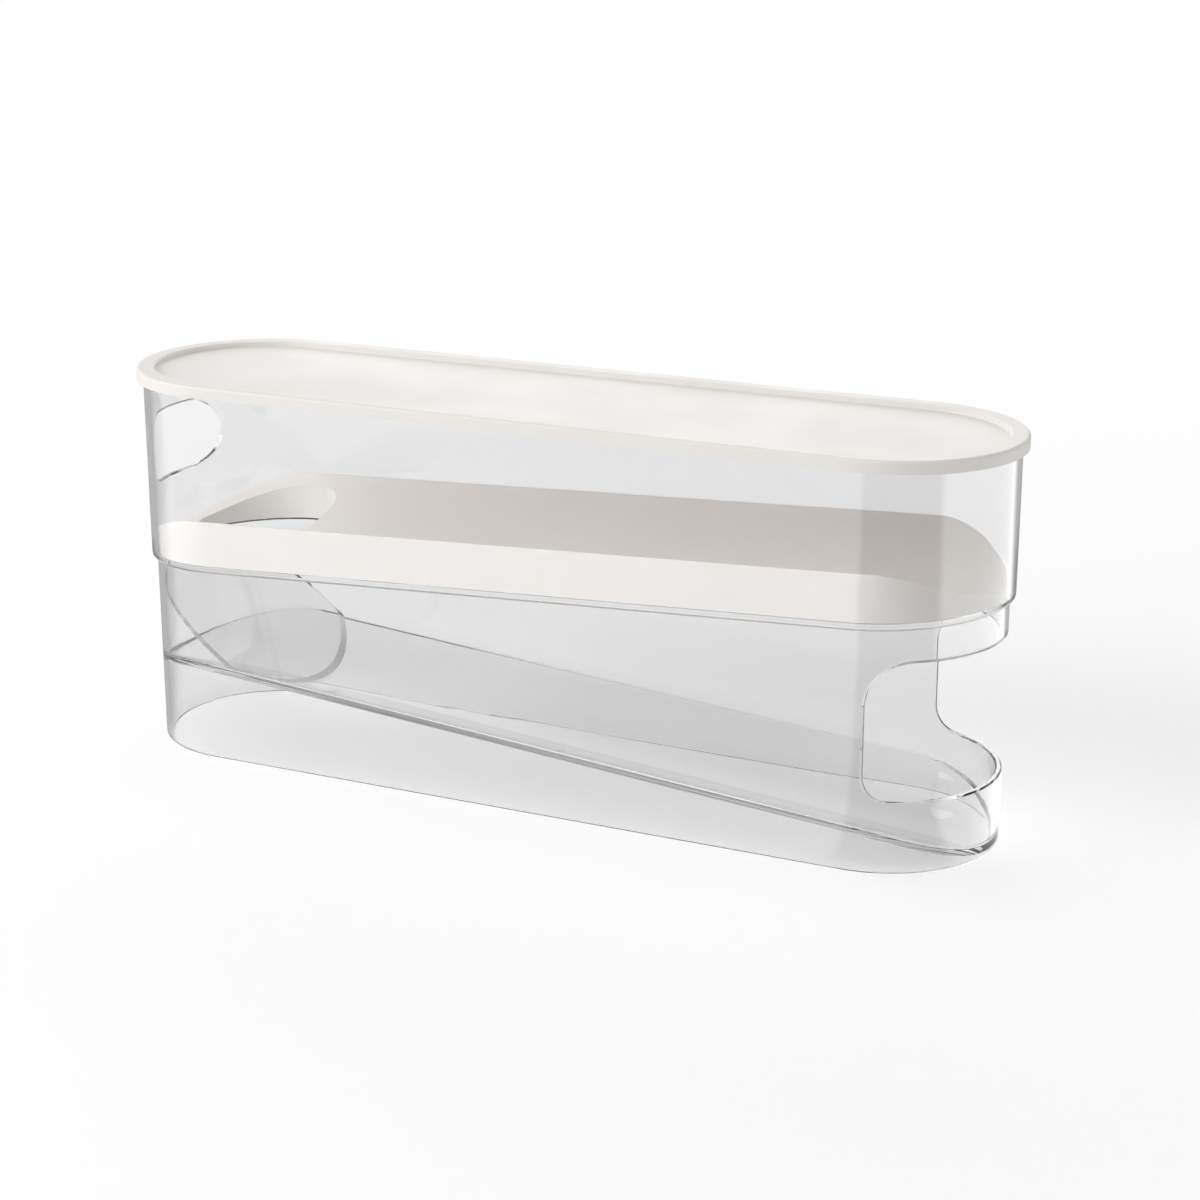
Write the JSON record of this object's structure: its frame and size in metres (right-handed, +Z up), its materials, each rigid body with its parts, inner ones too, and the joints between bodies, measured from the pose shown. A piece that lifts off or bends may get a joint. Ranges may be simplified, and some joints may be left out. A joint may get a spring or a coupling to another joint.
{
  "type": "egg storage container",
  "caption": "Clear stepped racetrack case with two sloped gutter tiers that roll eggs to a drop opening at the rear and on to a front mouth, with a lift-out white ramp tray and a lift-off lid.",
  "frame": {"origin": "on the table, under the middle of the case", "axes": "+X to the front mouth, along the length; +Y across the width; +Z up"},
  "size_m": [0.36, 0.0962, 0.152],
  "materials": {
    "clear_plastic": "clear gloss",
    "white_plastic": "satin"
  },
  "bodies": {
    "case": {"clear_case": "clear_plastic", "drop_guide": "clear_plastic"},
    "tray": {"ramp_tray": "white_plastic"},
    "lid": {"lid": "white_plastic"}
  },
  "joints": [
    {"name": "tray_lift", "type": "slide", "parent": "case", "child": "tray", "axis": [0, 0, 1], "range_m": [0, 0.1]},
    {"name": "lid_lift", "type": "slide", "parent": "tray", "child": "lid", "axis": [0, 0, 1], "range_m": [0, 0.08]}
  ]
}
